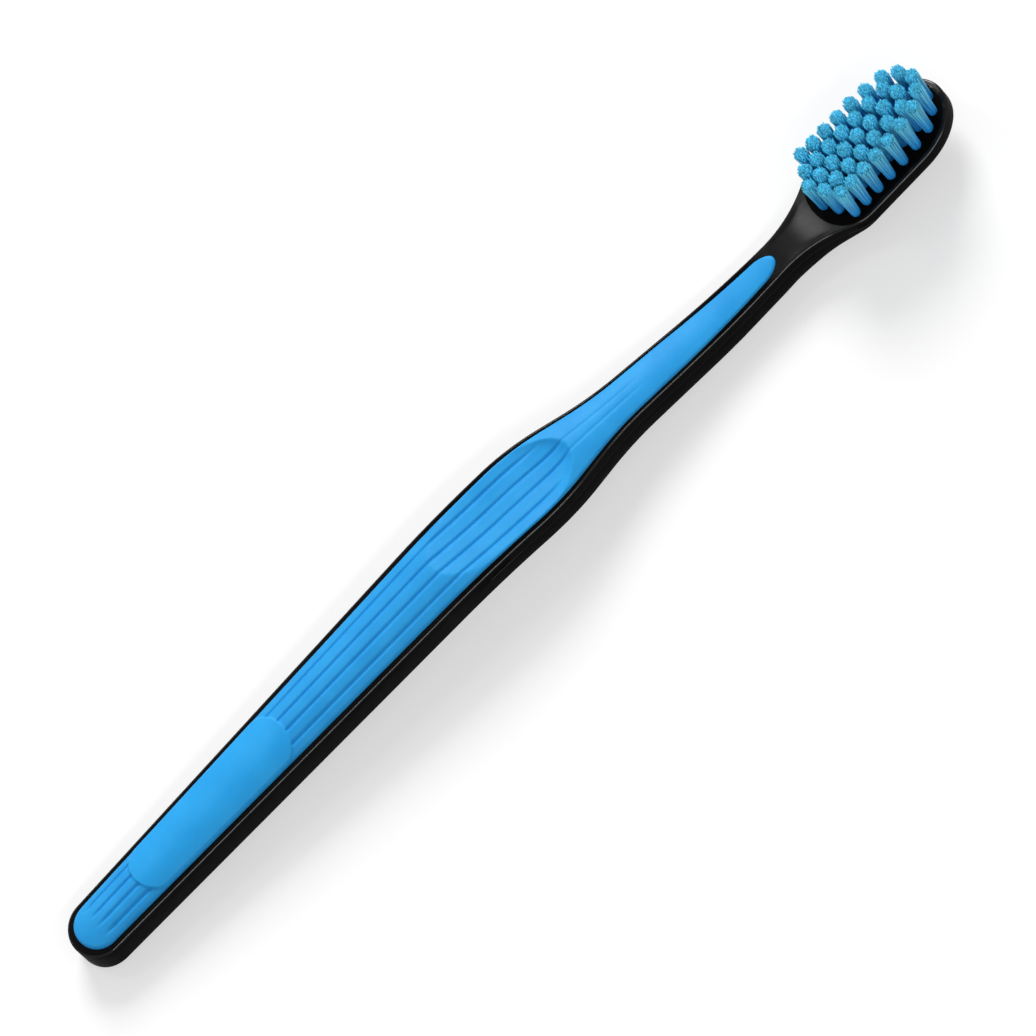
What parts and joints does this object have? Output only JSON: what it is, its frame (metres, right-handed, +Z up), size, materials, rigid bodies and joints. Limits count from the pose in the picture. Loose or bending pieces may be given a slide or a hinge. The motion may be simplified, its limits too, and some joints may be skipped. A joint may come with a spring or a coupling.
{
  "type": "manual toothbrush",
  "caption": "Manual toothbrush: curved hard handle, neck and head with a soft ribbed grip, thumb rest and smooth pad inlaid along its front, and tufts of filament set in the head.",
  "frame": {"origin": "middle of the brush's length and width, on the table it lies on", "axes": "+X along the brush from the tail to the head, +Z up, out of the bristles, +Y across the brush"},
  "size_m": [0.19, 0.014, 0.0199],
  "materials": {
    "body_plastic": "glossy black polypropylene",
    "grip_elastomer": "satin sky-blue elastomer",
    "bristle_nylon": "blue nylon filament",
    "anchor_metal": "bare flat wire"
  },
  "bodies": {
    "root": {"handle_body": "body_plastic", "grip": "grip_elastomer", "tuft_anchors": "anchor_metal", "tuft_row1_1": "bristle_nylon", "tuft_row1_2": "bristle_nylon", "tuft_row1_3": "bristle_nylon", "tuft_row1_4": "bristle_nylon", "tuft_row1_5": "bristle_nylon", "tuft_row1_6": "bristle_nylon", "tuft_row1_7": "bristle_nylon", "tuft_row2_1": "bristle_nylon", "tuft_row2_2": "bristle_nylon", "tuft_row2_3": "bristle_nylon", "tuft_row2_4": "bristle_nylon", "tuft_row2_5": "bristle_nylon", "tuft_row2_6": "bristle_nylon", "tuft_row2_7": "bristle_nylon", "tuft_row2_8": "bristle_nylon", "tuft_row3_1": "bristle_nylon", "tuft_row3_2": "bristle_nylon", "tuft_row3_3": "bristle_nylon", "tuft_row3_4": "bristle_nylon", "tuft_row3_5": "bristle_nylon", "tuft_row3_6": "bristle_nylon", "tuft_row3_7": "bristle_nylon", "tuft_row3_8": "bristle_nylon", "tuft_row3_9": "bristle_nylon", "tuft_row4_1": "bristle_nylon", "tuft_row4_2": "bristle_nylon", "tuft_row4_3": "bristle_nylon", "tuft_row4_4": "bristle_nylon", "tuft_row4_5": "bristle_nylon", "tuft_row4_6": "bristle_nylon", "tuft_row4_7": "bristle_nylon", "tuft_row4_8": "bristle_nylon", "tuft_row5_1": "bristle_nylon", "tuft_row5_2": "bristle_nylon", "tuft_row5_3": "bristle_nylon", "tuft_row5_4": "bristle_nylon", "tuft_row5_5": "bristle_nylon", "tuft_row5_6": "bristle_nylon", "tuft_row5_7": "bristle_nylon"}
  },
  "joints": []
}
